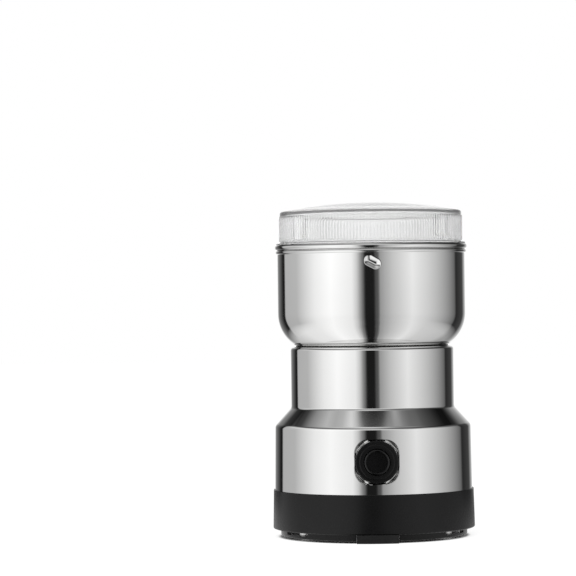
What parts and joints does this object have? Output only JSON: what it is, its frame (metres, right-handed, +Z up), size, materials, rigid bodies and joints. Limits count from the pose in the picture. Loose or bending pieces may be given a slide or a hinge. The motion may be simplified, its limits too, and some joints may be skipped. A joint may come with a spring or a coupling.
{
  "type": "electric spice grinder",
  "caption": "Countertop spice grinder: steel bowl with blades on a waisted steel motor housing, black base, front push button and clear ribbed lid.",
  "frame": {"origin": "on the motor's axis, in the plane of the feet's undersides", "axes": "+Z up along the motor's axis, -Y towards the front with the button, +X to the right from the front"},
  "size_m": [0.1042, 0.107, 0.1721],
  "materials": {
    "polished_steel": "drawn stainless steel, mirror polished",
    "satin_steel": "plain stainless and zinc plated steel",
    "core_steel": "varnished electrical laminations",
    "black_plastic": "satin black moulded plastic",
    "button_plastic": "smooth black plastic",
    "clear_plastic": "clear ribbed moulded plastic",
    "clear_silicone": "translucent silicone",
    "black_rubber": "matt black rubber",
    "frame_plastic": "glass filled moulding",
    "phenolic": "brown phenolic moulding",
    "bronze": "oil filled sintered bronze",
    "copper": "enamelled copper and commutator copper",
    "carbon": "pressed carbon"
  },
  "bodies": {
    "housing": {"base_ring": "black_plastic", "bottom_cover": "black_plastic", "rubber_feet": "black_rubber", "cover_screws": "satin_steel", "housing_shell": "polished_steel", "bowl": "polished_steel", "bowl_gasket": "black_rubber", "shaft_seal": "black_plastic", "mount_studs": "satin_steel", "mount_nuts": "satin_steel", "top_bracket": "frame_plastic", "top_bearing": "bronze", "stator_core": "core_steel", "field_coils": "copper", "bottom_bracket": "frame_plastic", "bottom_bearing": "bronze", "bracket_screws": "satin_steel", "motor_bolts": "satin_steel", "brush_holders": "phenolic", "carbon_brushes": "carbon", "brush_springs": "satin_steel", "switch_carrier": "frame_plastic", "switch_body": "phenolic", "button_bezel": "black_plastic", "button_spring": "satin_steel", "cord_gland": "black_rubber"},
    "rotor": {"motor_shaft": "satin_steel", "armature_core": "core_steel", "armature_windings": "copper", "commutator": "copper", "thrust_washers": "frame_plastic", "cooling_fan": "frame_plastic", "blade_spacer": "black_plastic", "lower_blade": "polished_steel", "upper_blade": "polished_steel", "blade_washer": "satin_steel", "blade_nut": "polished_steel"},
    "button": {"button_cap": "button_plastic"},
    "switch_plunger": {"switch_plunger": "phenolic"},
    "lid_seal": {"lid_seal": "clear_silicone"},
    "lid": {"lid": "clear_plastic"}
  },
  "joints": [
    {"name": "blade_spin", "type": "hinge", "parent": "housing", "child": "rotor", "pos_m": [0, 0, 0.1], "axis": [0, 0, 1], "continuous": true},
    {"name": "button_press", "type": "slide", "parent": "housing", "child": "button", "axis": [0, 1, 0], "range_m": [0, 0.003], "stiffness_N_per_m": 400, "springref_m": -0.004, "deforming": ["button_spring"]},
    {"name": "plunger_press", "type": "slide", "parent": "housing", "child": "switch_plunger", "axis": [0, 1, 0], "range_m": [0, 0.003]},
    {"name": "lid_lift", "type": "slide", "parent": "housing", "child": "lid_seal", "axis": [0, 0, 1], "range_m": [0, 0.02]},
    {"name": "lid_turn", "type": "hinge", "parent": "lid_seal", "child": "lid", "pos_m": [0, 0, 0.15], "axis": [0, 0, 1], "range_deg": [-46, 0]}
  ],
  "couplings": [
    {"joint": "plunger_press", "follows": "button_press", "ratio": 1},
    {"joint": "lid_turn", "follows": "lid_lift", "rad_per_m": -39.931}
  ]
}
